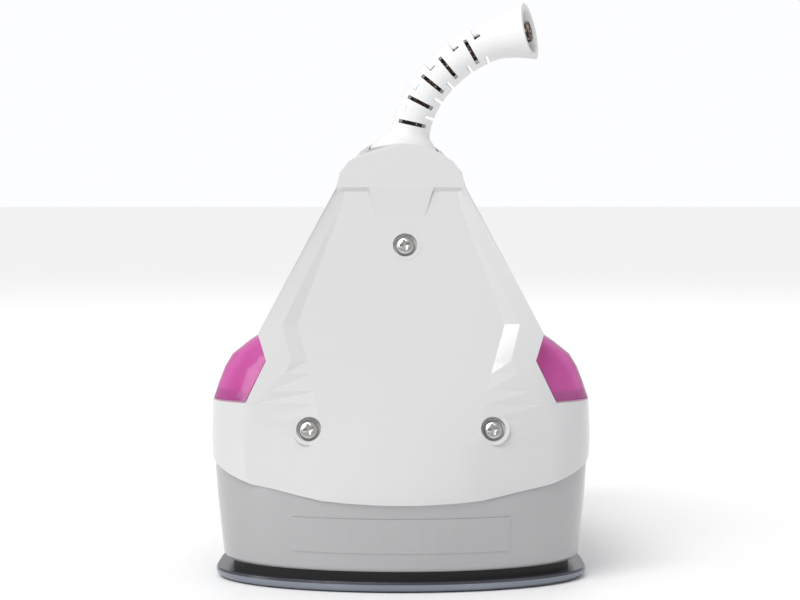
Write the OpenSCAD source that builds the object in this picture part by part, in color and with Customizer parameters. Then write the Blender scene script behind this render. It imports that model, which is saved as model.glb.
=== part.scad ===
/* [Overall] */
// Width over the lip of the heel cover
body_w = 122.4; // [102:0.1:147]
// Length from the heel to the tip of the sole plate
body_l = 216; // [190:0.5:260]
// Height of the top of the heel cover above the sole
heel_top = 139.6; // [132:0.1:168]
// Lean of the heel face from upright
heel_tilt = 20; // [16:0.5:23]
// Depth of the round heel, from its back to the widest place
heel_depth = 38; // [34:0.5:44]

/* [Sole plate] */
// Thickness of the sole plate at its rim
sole_t = 3.2; // [2.6:0.1:4.2]
// How far the sole stays inside the widest part of the body, each side
sole_inset = 1.2; // [0.5:0.1:3]
// Radius of one steam hole
steam_hole_r = 1.25; // [0.8:0.05:1.8]
// Steam holes in each side row
steam_holes = 9; // [4:1:12]

/* [Skirt and housing] */
// Gap between the rim of the sole and the skirt
sole_gap = 3; // [2:0.1:4]
// Wall of the moulded shells
wall = 2.4; // [1.8:0.1:3]
// Height of the lip at the middle of the heel
lip_z = 27.5; // [22:0.1:32]
// Slope of the lip as it climbs round the heel
lip_tilt = 19; // [14:0.5:24]
// Height where the body is widest
belly_z = 46.9; // [42:0.1:52]
// Height of the joint between the housing and the water tank
tank_z = 57.7; // [54:0.1:64]
// Height of the joint between the tank and the bonnet
bonnet_z = 84.4; // [81:0.1:86]
// Height of the top of the bonnet
dome_top = 90; // [88:0.1:94]
// Clearance at the joints between shells
seam = 0.3; // [0.2:0.05:0.5]

/* [Heel cover] */
// Depth of the heel cover from its face to its joint
cover_d = 16; // [13:0.5:19]
// Half-width of the heel at its shoulders, where the top arch starts
shoulder_hw = 20.6; // [18:0.1:26]
// Height of the top arch
arch_h = 14.1; // [11:0.1:18]
// Half-width of the heel at the top corner of the tank
tank_corner_hw = 45.2; // [41:0.1:48]
// Depth of the sunk middle panel
panel_sink = 1.2; // [0.6:0.1:1.6]

/* [Handle] */
// Half-width of the grip
grip_hw = 17; // [14:0.5:20]
// Half-height of the grip
grip_ht = 12; // [10:0.5:13]

/* [Cord guard] */
// Radius of the swivel ball
ball_r = 12.5; // [11:0.1:13]
// Outer radius of the guard
guard_r = 6.4; // [5.5:0.1:7]
// Radius of the bell mouth
bell_r = 9.4; // [8:0.1:11]
// Length of the guard above the ball
guard_l = 58; // [50:1:66]
// Radius of the braided lead
lead_r = 3.4; // [2.8:0.1:3.8]

/* [Controls] */
// Radius of the thermostat dial
dial_r = 22; // [18:0.5:24]
// Radius of the regulator knob
knob_r = 8.5; // [7:0.5:9.5]
// Radius of the steam button
button_r = 7; // [5.5:0.5:8]
// Travel of the steam button
button_travel = 3.5; // [2:0.5:4.5]
// Lift of the regulator valve
valve_lift = 3; // [2:0.5:4]

/* [Fasteners] */
// Radius of a screw head
screw_r = 3; // [2.5:0.1:3.4]
// Radius of a screw shank
shank_r = 1.6; // [1.3:0.1:1.9]

/* [Hidden] */
$fn = 48;

// Points round one plan outline
ring_n = 64;
// Shape of the nose in plan: 1 is round, 2 is sharp
nose_point = 1.25;
heel_y = -body_l / 2;
nose_y = body_l / 2;
wide_y = heel_y + heel_depth;
// Height where the heel plane meets the back of the lip
heel_z = lip_z + 2.3;
skirt_z = sole_t + sole_gap;
// Height of the two shoulders of the heel
shoulder_z = heel_top - arch_h;
// Heights of the corners beside the tank windows
window_top = 79.3;
window_mid = 71;
window_mid_hw = tank_corner_hw - 2.7;
window_foot_hw = tank_corner_hw + 3.8;
// Joint between the heel cover and the lower housing
cover_seam_y = wide_y + 4;

// Height of the cord clamp
clamp_z = heel_top - 44;
// Radius of the lamp's lens
lamp_r = 3;
// Height of the lamp
lamp_z = clamp_z + 14;

// Front of the white column that carries the handle
column_front = heel_line(heel_top) + 22;
// Vertical axes of the controls
dial_y = column_front + 30;
pump_y = nose_y - 61;
knob_y = (dial_y + dial_r + pump_y - button_r) / 2 - 3;
ball = [0.6, column_front - 4.5, heel_top - 7.6];

white = [0.93, 0.93, 0.94];
magenta = [0.86, 0.12, 0.62, 0.75];
grey = [0.72, 0.72, 0.73];
dark = [0.2, 0.2, 0.22];
metal = [0.75, 0.76, 0.78];

function sgn(v) = v < 0 ? -1 : 1;
function pw(v, e) = sgn(v) * pow(abs(v), e);
function mix(a, b, t) = a + (b - a) * t;

// Place along a smooth curve through the points p, for u from 0 to 1
function spline(p, u) =
    let (m = len(p) - 1, s = min(u * m, m - 0.0001), i = floor(s), t = s - i)
    let (p1 = p[i], p2 = p[i + 1])
    let (p0 = i > 0 ? p[i - 1] : 2 * p1 - p2, p3 = i < m - 1 ? p[i + 2] : 2 * p2 - p1)
    0.5 * (2 * p1 + (p2 - p0) * t + (2 * p0 - 5 * p1 + 4 * p2 - p3) * t * t
        + (3 * p1 - p0 - 3 * p2 + p3) * t * t * t);

// Solid skinned over rings of equal length, each counter-clockwise seen from the last ring
module loft(rings) {
    n = len(rings[0]);
    m = len(rings);
    pts = [for (r = rings) each r];
    sides = [
        for (j = [0 : m - 2], i = [0 : n - 1])
            let (a = j * n + i, b = j * n + (i + 1) % n)
                each [[a, b + n, b], [a, a + n, b + n]]
    ];
    polyhedron(
        points = pts,
        faces = concat([[for (i = [0 : n - 1]) i]], sides, [[for (i = [n - 1 : -1 : 0]) (m - 1) * n + i]]),
        convexity = 8
    );
}

// One closed skin of everything inside it
module skin() {
    resize([0, 0, 0])
        children();
}

// Solid drawn from the side as [y, z] points and as wide as w
module side_block(points, w) {
    rotate([90, 0, 90])
        linear_extrude(w, center = true)
            polygon(points);
}

module tube(r_out, r_in, h) {
    difference() {
        cylinder(h = h, r = r_out);
        translate([0, 0, -1])
            cylinder(h = h + 2, r = r_in);
    }
}

// --- The body's own outline -------------------------------------------------

// Share of the way up the dome
function dome_s(z) = max(0, (z - tank_z) / (dome_top - tank_z));
skirt_draft = 3.3;
// How much the flanks draw in above the joint of the tank
function flank_draw(z) = lookup(z, [
    [tank_z, 1], [tank_z + 6.4, 0.97], [tank_z + 14.8, 0.96], [tank_z + 20, 0.915], [bonnet_z, 0.9], [dome_top, 0.94]
]);
function half_w(z) =
    z <= belly_z ? body_w / 2 - skirt_draft * pow((belly_z - z) / (belly_z - skirt_z), 1.6)
    : z <= tank_z ? body_w / 2 - 0.6 * (z - belly_z) / (tank_z - belly_z)
    : (body_w / 2 - 0.6) * flank_draw(z) * pow(max(0, 1 - pow(dome_s(z), 2.5)), 0.5);
function heel_line(z) = heel_y + (z - heel_z) * tan(heel_tilt);
function rear_y(z) = z >= heel_z ? heel_line(z) : heel_y + 0.1 * (heel_z - z);
function heel_back(z) = heel_line(max(z, heel_z));
function tip_y(z) = z <= tank_z ? nose_y - 5 - 0.06 * (z - skirt_z) : tip_y(tank_z) - 44 * pow(dome_s(z), 2);

// Plan outline at height z, made smaller all round by d
function body_ring(z, d = 0, lift = 0) =
    let (a = max(0.5, half_w(z) - d), yr = min(wide_y - 1, rear_y(z) + d), yn = tip_y(z) - 1.5 * d)
    [
        for (i = [0 : ring_n - 1])
            let (t = i * 360 / ring_n)
                sin(t) >= 0
                ? [a * pw(cos(t), nose_point), wide_y + (yn - wide_y) * pow(sin(t), 1.05), z + lift]
                : [a * cos(t), wide_y + (wide_y - yr) * sin(t), z + lift]
    ];
function flat(ring) = [for (p = ring) [p[0], p[1]]];

// Sole outline, which is a little longer and flatter at the back
function sole_ring(z, d = 0) =
    [
        for (i = [0 : ring_n - 1])
            let (t = i * 360 / ring_n, a = body_w / 2 - sole_inset - d)
                sin(t) >= 0
                ? [a * pw(cos(t), nose_point), wide_y + (nose_y - 1.5 * d - wide_y) * pow(sin(t), 1.05), z]
                : [a * cos(t), wide_y + (heel_depth - 2 - d) * sin(t), z]
    ];

// Everything above the line where the skirt meets the white lip, lowered by d
module above_lip(d = 0) {
    rise = (heel_depth + 2) * tan(lip_tilt);
    far = 400;
    side_block(
        [
            [heel_y - 20, lip_z - d - 20 * tan(lip_tilt)],
            [wide_y + 2, lip_z - d + rise],
            [wide_y + 22, lip_z - d + rise + 1],
            [wide_y + 60, lip_z - d + rise - 2],
            [nose_y + 20, lip_z - d + 3],
            [nose_y + 20, far],
            [heel_y - 20, far]
        ],
        far
    );
}

// --- Sole plate, chamber and heater -----------------------------------------

module sole_plate() {
    color([0.3, 0.31, 0.34])
        difference() {
            loft([
                sole_ring(0, 1.7), sole_ring(sole_t * 0.15, 0.8), sole_ring(sole_t * 0.4, 0.2),
                sole_ring(sole_t * 0.75, 0), sole_ring(sole_t, 0.3)
            ]);
            for (side = [-1, 1], i = [0 : steam_holes - 1]) {
                y = mix(-20, nose_y - 38, i / (steam_holes - 1));
                x = side * (0.62 * sole_half(y) - 2);
                translate([x, y, -1])
                    cylinder(h = sole_t + 2, r = steam_hole_r);
            }
            for (i = [0 : 3])
                translate([0, mix(nose_y - 62, nose_y - 24, i / 3), -1])
                    cylinder(h = sole_t + 2, r = steam_hole_r);
        }
}
// Half-width of the sole at y, ahead of the widest place
function sole_half(y) =
    (body_w / 2 - sole_inset) * pow(1 - pow((y - wide_y) / (nose_y - wide_y), 1.9), nose_point / 2);

gasket_inset = 3.6;
module sole_gasket() {
    color(dark)
        translate([0, 0, sole_t])
            difference() {
                linear_extrude(sole_gap)
                    polygon(flat(body_ring(skirt_z, gasket_inset)));
                translate([0, 0, -1])
                    linear_extrude(sole_gap + 2)
                        polygon(flat(body_ring(skirt_z, gasket_inset + 5)));
            }
}

chamber_inset = 11;
chamber_top = sole_t + 12;
element_r = 3.2;
element_z = sole_t + 7;
element_leg = [[31, wide_y + 12], [9, nose_y - 62]];

element_turn = atan2(element_leg[0][0] - element_leg[1][0], element_leg[1][1] - element_leg[0][1]);
element_nose = element_leg[1][0] / cos(element_turn);
element_cy = element_leg[1][1] + element_leg[1][0] * tan(element_turn);
cold_end_h = 22;

// The heater's centre line in plan: up one leg, round the nose and down the other
element_path = concat(
    [element_leg[0]],
    [
        for (i = [0 : 12])
            let (a = mix(-element_turn, 180 + element_turn, i / 12))
                [element_nose * cos(a), element_cy + element_nose * sin(a)]
    ],
    [[-element_leg[0][0], element_leg[0][1]]]
);

// Strip of width 2 r along the heater's centre line
module element_strip(r, z0, z1) {
    last = len(element_path) - 1;
    side = [
        for (i = [0 : last])
            let (t = element_path[min(i + 1, last)] - element_path[max(i - 1, 0)])
                [t[1], -t[0]] / norm(t)
    ];
    translate([0, 0, z0])
        linear_extrude(z1 - z0)
            polygon(concat(
                [for (i = [0 : last]) element_path[i] + r * side[i]],
                [for (i = [last : -1 : 0]) element_path[i] - r * side[i]]
            ));
}

module steam_chamber() {
    color(metal)
        difference() {
            translate([0, 0, sole_t])
                linear_extrude(chamber_top - sole_t)
                    polygon(flat(body_ring(skirt_z, chamber_inset)));
            // Steam pocket between the legs of the heater
            translate([-6, -30, sole_t + 3])
                cube([12, nose_y - 40, chamber_top]);
            translate([0, knob_y, sole_t + 3])
                cylinder(h = chamber_top, r = 12);
            element_strip(element_r + 0.2, element_z - element_r - 0.2, chamber_top + 1);
            for (side = [-1, 1])
                translate([side * element_leg[0][0], element_leg[0][1], element_z - element_r - 0.2])
                    cylinder(h = 20, r = element_r + 0.6);
            for (p = stud_places())
                translate([p[0], p[1], sole_t + 4])
                    cylinder(h = chamber_top, r = shank_r);
        }
}

// A sheathed bar, flattened top and bottom where it is pressed into the casting
module heating_element() {
    color([0.55, 0.53, 0.5]) {
        element_strip(element_r, element_z - element_r, element_z + element_r);
        for (side = [-1, 1]) {
            translate([side * element_leg[0][0], element_leg[0][1], element_z - element_r])
                cylinder(h = cold_end_h + element_r, r = element_r + 0.3);
            // Flat terminal on the cold end
            translate([side * element_leg[0][0] - 3, element_leg[0][1] - 0.4, element_z + cold_end_h - 1])
                cube([6, 0.8, 9]);
        }
    }
}

// Places of the screws that hold the chamber cover
function cover_places() = [[-13.5, -36], [13.5, -36], [-15.5, 0], [15.5, 0], [-10, nose_y - 60], [10, nose_y - 60]];
// Places of the studs that hold the body to the sole
function stud_places() = [[0, wide_y - 12], [-41, wide_y + 30], [41, wide_y + 30]];

module cover_outline(grow) {
    offset(r = grow)
        polygon([[-14, -36], [14, -36], [17, 0], [12, nose_y - 60], [-12, nose_y - 60], [-17, 0]]);
}
seal_t = 0.8;
cover_t = 1.6;

module chamber_seal() {
    color([0.75, 0.3, 0.2])
        translate([0, 0, chamber_top])
            difference() {
                linear_extrude(seal_t)
                    cover_outline(4);
                translate([0, 0, -1])
                    linear_extrude(seal_t + 2)
                        cover_outline(-5);
                for (p = cover_places())
                    translate([p[0], p[1], -1])
                        cylinder(h = seal_t + 2, r = shank_r);
            }
}

module chamber_cover() {
    color(metal)
        translate([0, 0, chamber_top + seal_t])
            difference() {
                linear_extrude(cover_t)
                    cover_outline(4);
                for (p = cover_places())
                    translate([p[0], p[1], -1])
                        cylinder(h = cover_t + 2, r = shank_r);
                translate([0, knob_y, -1])
                    cylinder(h = cover_t + 2, r = 3);
            }
}

// A screw with a cross recess, its head's underside at the origin and its shank pointing down
module screw(head_r, head_h, shank, shank_l) {
    difference() {
        union() {
            cylinder(h = head_h * 0.55, r = head_r);
            translate([0, 0, head_h * 0.55])
                cylinder(h = head_h * 0.45, r1 = head_r, r2 = head_r * 0.72);
            translate([0, 0, -shank_l])
                cylinder(h = shank_l + 0.1, r = shank);
        }
        for (a = [0, 90])
            rotate(a)
                translate([-head_r * 0.6, -head_r * 0.13, head_h * 0.35])
                    cube([head_r * 1.2, head_r * 0.26, head_h]);
    }
}

module cover_screws() {
    color(metal)
        for (p = cover_places())
            translate([p[0], p[1], chamber_top + seal_t + cover_t])
                screw(screw_r * 0.8, 1.8, shank_r, 2.3);
}

boss_r = 4;
module sole_studs() {
    color(metal)
        for (p = stud_places())
            translate([p[0], p[1], sole_t + 4])
                cylinder(h = stud_top - sole_t - 4, r = shank_r);
}
stud_top = 34;

// --- Thermostat and dial ----------------------------------------------------

spindle_r = 2;
spindle_foot = 27;
module thermostat() {
    color([0.8, 0.76, 0.66])
        difference() {
            union() {
                translate([-9, dial_y - 5, chamber_top + seal_t + cover_t])
                    cube([18, 10, 6]);
                translate([0, dial_y, chamber_top + seal_t + cover_t + 6])
                    cylinder(h = 4, r = 5);
                translate([-9, dial_y - 14, chamber_top + seal_t + cover_t + 3])
                    cube([7, 10, 0.8]);
                translate([2, dial_y - 14, chamber_top + seal_t + cover_t + 3])
                    cube([7, 10, 0.8]);
            }
            translate([0, dial_y, chamber_top + seal_t + cover_t + 4])
                cylinder(h = 20, r = spindle_r + 0.5);
        }
}

dial_z = dome_top - 2.4;
dial_h = 6.5;
module thermostat_spindle() {
    color(metal)
        translate([0, dial_y, chamber_top + seal_t + cover_t + 5])
            cylinder(h = dial_z + 3 - chamber_top - seal_t - cover_t - 5, r = spindle_r);
}

module thermostat_dial() {
    ribs = 40;
    color(white)
        difference() {
            translate([0, dial_y, dial_z])
                union() {
                    cylinder(h = dial_h - 1.2, r = dial_r);
                    translate([0, 0, dial_h - 1.2])
                        cylinder(h = 1.2, r1 = dial_r, r2 = dial_r - 1.2);
                }
            translate([0, dial_y, dial_z - 1])
                cylinder(h = 4, r = spindle_r);
            for (i = [0 : ribs - 1])
                translate([0, dial_y, dial_z + 1.5])
                    rotate(i * 360 / ribs)
                        translate([dial_r + 0.5, 0, 0])
                            cylinder(h = dial_h, r = 1);
        }
}

module thermal_fuse() {
    y = wide_y + 6;
    color([0.9, 0.9, 0.85]) {
        translate([-9, y, chamber_top + 2.2])
            rotate([0, 90, 0])
                cylinder(h = 18, r = 2.2);
        translate([-15, y, chamber_top + 2.2])
            rotate([0, 90, 0])
                cylinder(h = 30, r = 0.6);
    }
}

// --- Skirt and lower housing --------------------------------------------------

skirt_under = 0.7;
skirt_levels = [skirt_z, skirt_z + 1.4, skirt_z + 8, skirt_z + 16, lip_z, lip_z + 7, lip_z + 14, lip_z + 19];
module skirt() {
    color(grey)
        skin()
            difference() {
                loft([for (z = skirt_levels) body_ring(z, z == skirt_z ? skirt_under + 0.8 : skirt_under)]);
                loft([for (z = [skirt_z - 1, lip_z, lip_z + 21]) body_ring(max(z, skirt_z), skirt_under + wall, z - max(z, skirt_z))]);
                above_lip(0);
            }
}

label_hw = 34;
label_z = [skirt_z + 6, lip_z - 4.5];
module rating_label() {
    color([0.78, 0.78, 0.79])
        skin()
            intersection() {
                difference() {
                    loft([for (z = label_z) body_ring(z, skirt_under - 0.3)]);
                    loft([for (z = [label_z[0] - 1, label_z[1] + 1]) body_ring(z, skirt_under - 0.05)]);
                }
                translate([-label_hw, heel_y - 1, 0])
                    cube([2 * label_hw, heel_depth, lip_z]);
            }
}

// Round boss for a screw, standing on a deck
module boss(z0, z1) {
    translate([0, 0, z0])
        cylinder(h = z1 - z0, r = boss_r);
}

housing_levels = [lip_z, lip_z + 7, lip_z + 14, belly_z, tank_z - 5, tank_z - seam];
module lower_housing() {
    color(white)
        difference() {
            skin()
                difference() {
                    intersection() {
                        loft([for (z = housing_levels) body_ring(z)]);
                        above_lip(0);
                        translate([-200, cover_seam_y + seam, 0])
                            cube([400, 400, 200]);
                    }
                    loft([for (z = [lip_z - 1, belly_z, tank_z - wall]) body_ring(z, wall)]);
                }
            translate([0, dial_y, 0])
                cylinder(h = tank_z + 1, r = spindle_r + 2);
            translate([0, knob_y, 0])
                cylinder(h = tank_z + 1, r = 4.4);
            translate([0, pump_y, 0])
                cylinder(h = tank_z + 1, r = 3.9);
            translate([-22, cover_seam_y - 1, tank_z - wall - 1])
                cube([44, 18, wall + 2]);
        }
}

// --- Heel cover -----------------------------------------------------------------

// Half-width of the heel cover at height z, above the tank joint
function heel_hw(z) =
    z > shoulder_z ? shoulder_hw * sqrt(max(0, 1 - pow((z - shoulder_z) / arch_h, 2)))
    : lookup(z, [
        [tank_z, window_foot_hw], [window_mid, window_mid_hw], [window_top, tank_corner_hw],
        [shoulder_z, shoulder_hw]
    ]);
// How square the heel is in plan: round at the lip, nearly flat above the tank
function heel_square(z) = lookup(z, [[lip_z, 2], [belly_z, 2.3], [tank_z, 2.9], [window_top, 4.5], [heel_top, 8]]);
function heel_face_y(x, z) =
    let (a = z > tank_z ? body_w / 2 : half_w(z), n = heel_square(z))
    wide_y - (wide_y - heel_back(z)) * pow(max(0, 1 - pow(min(1, abs(x) / a), n)), 1 / n);

// Relief of the heel face: a raised cap, a ramp below its middle, and a sunk panel between two sloping strips
cap_z = shoulder_z;
cap_step = 1.3;
cap_raise = 1.1;
ramp_z = cap_z - 9.5;
strip_top_z = cap_z - 3.1;
strip_wide_z = window_top + 3;
strip_end_z = belly_z - 2;
// Outer and inner edges of the sloping strips
function strip_out(z) = lookup(z, [
    [strip_end_z, window_foot_hw - 1.5], [tank_z, window_foot_hw - 3.1], [tank_z + 4, window_foot_hw - 7.8],
    [window_mid - 4, window_mid_hw - 6], [window_mid, window_mid_hw - 7.9], [strip_wide_z, tank_corner_hw - 7.7],
    [strip_top_z, shoulder_hw - 2.3]
]);
function strip_in(z) = lookup(z, [
    [strip_end_z, window_foot_hw - 24], [tank_z, window_foot_hw - 22.6], [window_mid - 4, window_mid_hw - 14.2],
    [strip_wide_z, tank_corner_hw - 12.4], [strip_top_z, shoulder_hw - 2.7]
]);
function ramp_hw(z) = lookup(z, [[ramp_z, 7.6], [cap_z, 10.4]]);
// How far each place on the face lies below the plain slope
function band_sink(z) = lookup(z, [[window_top, 0], [cap_z - cap_step, cap_raise], [cap_z, 0]]);
function panel_depth(z) = lookup(z, [
    [strip_end_z, 0], [tank_z + 4, panel_sink * 0.7], [window_mid, panel_sink], [strip_wide_z, panel_sink],
    [strip_top_z, 0]
]);
function ramp_sink(z) = z > ramp_z ? lookup(z, [[ramp_z, cap_raise], [cap_z, 0]]) : band_sink(z) + panel_depth(z);
wall_run = 0.35;
round_n = 6;

// One level of the heel cover, from its left joint round the face to its right joint
function heel_ring(z, d = 0, front = 0) =
    let (
        low = z < tank_z,
        hw = max(0.4, (low ? half_w(z) : heel_hw(z)) - d),
        joint = (low ? cover_seam_y : heel_line(z) + cover_d) + front,
        xo = min(strip_out(z), hw * 0.93),
        xi = min(strip_in(z), xo * 0.97),
        xr = min(ramp_hw(z), xi * 0.8),
        xw = xr + min(wall_run, 0.1 * xi),
        turn = acos(xo / hw),
        band = band_sink(z),
        deep = band + panel_depth(z),
        half = concat(
            [for (i = [0 : round_n - 1]) [hw * cos(turn * i / round_n), band * i / round_n]],
            [[xo, band], [xi, deep], [mix(xi, xw, 0.5), deep], [xw, deep], [xr, ramp_sink(z)], [xr / 2, ramp_sink(z)]]
        ),
        count = len(half)
    )
    concat(
        [[-hw, joint, z]],
        [for (p = half) [-p[0], heel_face_y(p[0], z) + p[1] + d, z]],
        [[0, heel_face_y(0, z) + ramp_sink(z) + d, z]],
        [for (i = [count - 1 : -1 : 0]) let (p = half[i]) [p[0], heel_face_y(p[0], z) + p[1] + d, z]],
        [[hw, joint, z]]
    );
ledge = 0.05;
cover_low = [lip_z - 2, heel_z, heel_z + 5, heel_z + 10, strip_end_z, belly_z + 2, belly_z + 6, tank_z - ledge];
cover_high = concat(
    [tank_z, tank_z + 4, window_mid - 4, window_mid, window_top, strip_wide_z],
    [for (i = [1 : 3]) mix(strip_wide_z, ramp_z, i / 4)],
    [ramp_z - 0.1, ramp_z, strip_top_z, cap_z - cap_step, cap_z],
    [for (a = [14 : 12 : 86]) shoulder_z + arch_h * sin(a)]
);

// Places the children on the heel's flat face, up the slope as +Y and outwards as +Z
module on_heel() {
    translate([0, heel_y, heel_z])
        rotate([90 - heel_tilt, 0, 0])
            children();
}
function heel_v(z) = (z - heel_z) / cos(heel_tilt);
heel_screw_places = [[1.3, heel_v(107.5)], [-28.85, heel_v(51)], [28.85, heel_v(51)]];
screw_sink = 2.6;
recess_r = screw_r + 0.9;
// The face falls back from the slope towards the sides
function face_drop(x, z) = (heel_face_y(x, z) - heel_line(z)) * cos(heel_tilt);

module heel_cover() {
    color(white)
        difference() {
            skin()
                difference() {
                    union() {
                        heel_shell();
                        for (p = heel_screw_places)
                            on_heel()
                                translate([p[0], p[1], -12 - screw_drop(p)])
                                    cylinder(h = 11, r = recess_r + 1.2);
                    }
                    for (p = heel_screw_places)
                        on_heel()
                            translate([p[0], p[1], -screw_sink - screw_drop(p)])
                                cylinder(h = 20, r = recess_r);
                    translate(ball)
                        sphere(ball_r + 0.4, $fn = 36);
                }
            for (p = heel_screw_places)
                on_heel()
                    translate([p[0], p[1], -30 - screw_drop(p)])
                        cylinder(h = 30, r = shank_r);
        }
}
function screw_drop(p) = face_drop(p[0], heel_z + p[1] * cos(heel_tilt));

// The cover's wall alone, open towards the nose
module heel_shell() {
    difference() {
        loft([for (z = concat(cover_low, cover_high)) heel_ring(z)]);
        loft([for (z = concat([lip_z - 3], cover_low)) heel_ring(min(z, tank_z - wall), wall, 5)]);
        loft([
            for (z = [tank_z - wall - 2, window_mid, window_top, shoulder_z, shoulder_z + 6, heel_top - 4])
                heel_ring(max(z, tank_z), wall, 5)
        ]);
        difference() {
            translate([-200, heel_y - 20, lip_z - 60])
                cube([400, 400, 130]);
            above_lip(0);
        }
    }
}

module heel_screws() {
    color(metal)
        for (p = heel_screw_places)
            on_heel()
                translate([p[0], p[1], -screw_sink - screw_drop(p)])
                    screw(screw_r, 2.2, shank_r, 10);
}

// --- Column, tank and bonnet ------------------------------------------------------

// The white column behind the heel cover; grow makes it larger all round
function column_ring(z, grow = 0) =
    let (
        hw = max(0.6, (z > window_top ? heel_hw(z) + 0.8 : window_mid_hw - 4) + grow),
        y0 = heel_line(z) + cover_d + seam - grow,
        y1 = column_front + grow,
        c = (y0 + y1) / 2,
        h = (y1 - y0) / 2
    )
    [
        for (i = [0 : 39])
            let (t = i * 9)
                [hw * pw(cos(t), 0.4), c + h * pw(sin(t), 0.4), z]
    ];
column_levels = concat(
    [tank_z + seam, window_mid, window_top, window_top + 0.3],
    [for (i = [1 : 4]) mix(window_top, shoulder_z, i / 4)],
    [for (a = [20 : 17 : 88]) shoulder_z + arch_h * sin(a)]
);

tank_levels = [tank_z + ledge, tank_z + 5, tank_z + 10, tank_z + 14, tank_z + 18, tank_z + 21, tank_z + 24, bonnet_z - seam];
column_cut = [tank_z - 1, window_top - 0.3, window_top + 0.01, bonnet_z + 1];
sleeve_r = 5;
filler = [0, tip_y(bonnet_z) + 9, bonnet_z - 4.9];
filler_lean = 28;
filler_r = 7;
door_r = filler_r + 2.6;
module at_filler() {
    translate(filler)
        rotate([-filler_lean, 0, 0])
            children();
}
module water_tank() {
    color(magenta)
        difference() {
            union() {
                skin()
                    difference() {
                        loft([for (z = tank_levels) body_ring(z)]);
                        difference() {
                            loft([
                                for (z = [tank_z + wall, tank_z + 8, tank_z + 14, tank_z + 19, bonnet_z - seam - wall])
                                    body_ring(z + 1.2, wall, -1.2)
                            ]);
                            loft([for (z = column_cut) column_ring(z, wall + seam)]);
                        }
                        loft([for (z = column_cut) column_ring(z, seam)]);
                        loft([for (z = [tank_z + ledge, window_mid, window_top, bonnet_z + 1]) heel_ring_grown(z)]);
                    }
                translate([0, dial_y, tank_z + 1])
                    cylinder(h = bonnet_z - tank_z - 2, r = sleeve_r);
                translate([0, pump_y, tank_z + 1])
                    cylinder(h = bonnet_z - tank_z - 2, r = sleeve_r);
                at_filler()
                    translate([0, 0, -6])
                        cylinder(h = 8, r = filler_r + 2);
            }
            translate([0, dial_y, 0])
                cylinder(h = 200, r = spindle_r + 0.8);
            translate([0, pump_y, 0])
                cylinder(h = 200, r = 2.6);
            translate([0, knob_y, 0])
                cylinder(h = tank_z + 10, r = 2);
            translate([0, knob_y, tank_z + 10])
                cylinder(h = 100, r = 2);
            at_filler()
                translate([0, 0, -30])
                    cylinder(h = 60, r = filler_r);
        }
}
// The heel cover's own space with a joint's clearance, cut from the tank
function heel_ring_grown(z) =
    let (hw = heel_hw(z) + seam, joint = heel_line(z) + cover_d + seam)
    [[-hw, joint, z], [-hw, heel_y - 20, z], [hw, heel_y - 20, z], [hw, joint, z]];

// Centre line of the handle, from the column to its front foot, as [y, z]
handle_line = [
    [column_front - 5.6, heel_top - 11.7], [column_front + 4, heel_top - 10.6],
    [column_front + 41, heel_top - 10], [nose_y - 86, heel_top - 13], [nose_y - 68, heel_top - 21.5],
    [nose_y - 59, heel_top - 34], [nose_y - 56, dome_top + 6], [nose_y - 56, bonnet_z + 1]
];
handle_steps = 26;
function handle_ring(u, d = 0) =
    let (
        p = spline(handle_line, u),
        q = spline(handle_line, min(1, u + 0.01)) - spline(handle_line, max(0, u - 0.01)),
        n = [-q[1], q[0]] / norm(q),
        w = grip_hw + 3 * pow(u, 4) - d,
        t = grip_ht + 1.5 * pow(u, 3) - d
    )
    [
        for (i = [0 : 27])
            let (a = -i * 360 / 28, s = t * pw(sin(a), 0.85))
                [w * pw(cos(a), 0.85), p[0] + n[0] * s, p[1] + n[1] * s]
    ];

// Hollow of the handle, run on a little way into the column
module handle_bore() {
    loft(concat(
        [[for (p = handle_ring(0, wall)) p - [0, 3, 0.4]]],
        [for (i = [0 : handle_steps / 2]) handle_ring(2 * i / handle_steps, wall)]
    ));
}

// Space above the joint of the two handle halves
module above_handle_joint(d) {
    last = 18;
    start = column_front + d;
    pts = [for (i = [0 : last]) spline(handle_line, mix(1 / 7, 0.7, i / last)) + [2, d]];
    side_block(
        concat([[start, pts[0][1] - 0.1]], pts, [[200, pts[last][1]], [200, 300], [start, 300]]),
        200
    );
}

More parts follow.
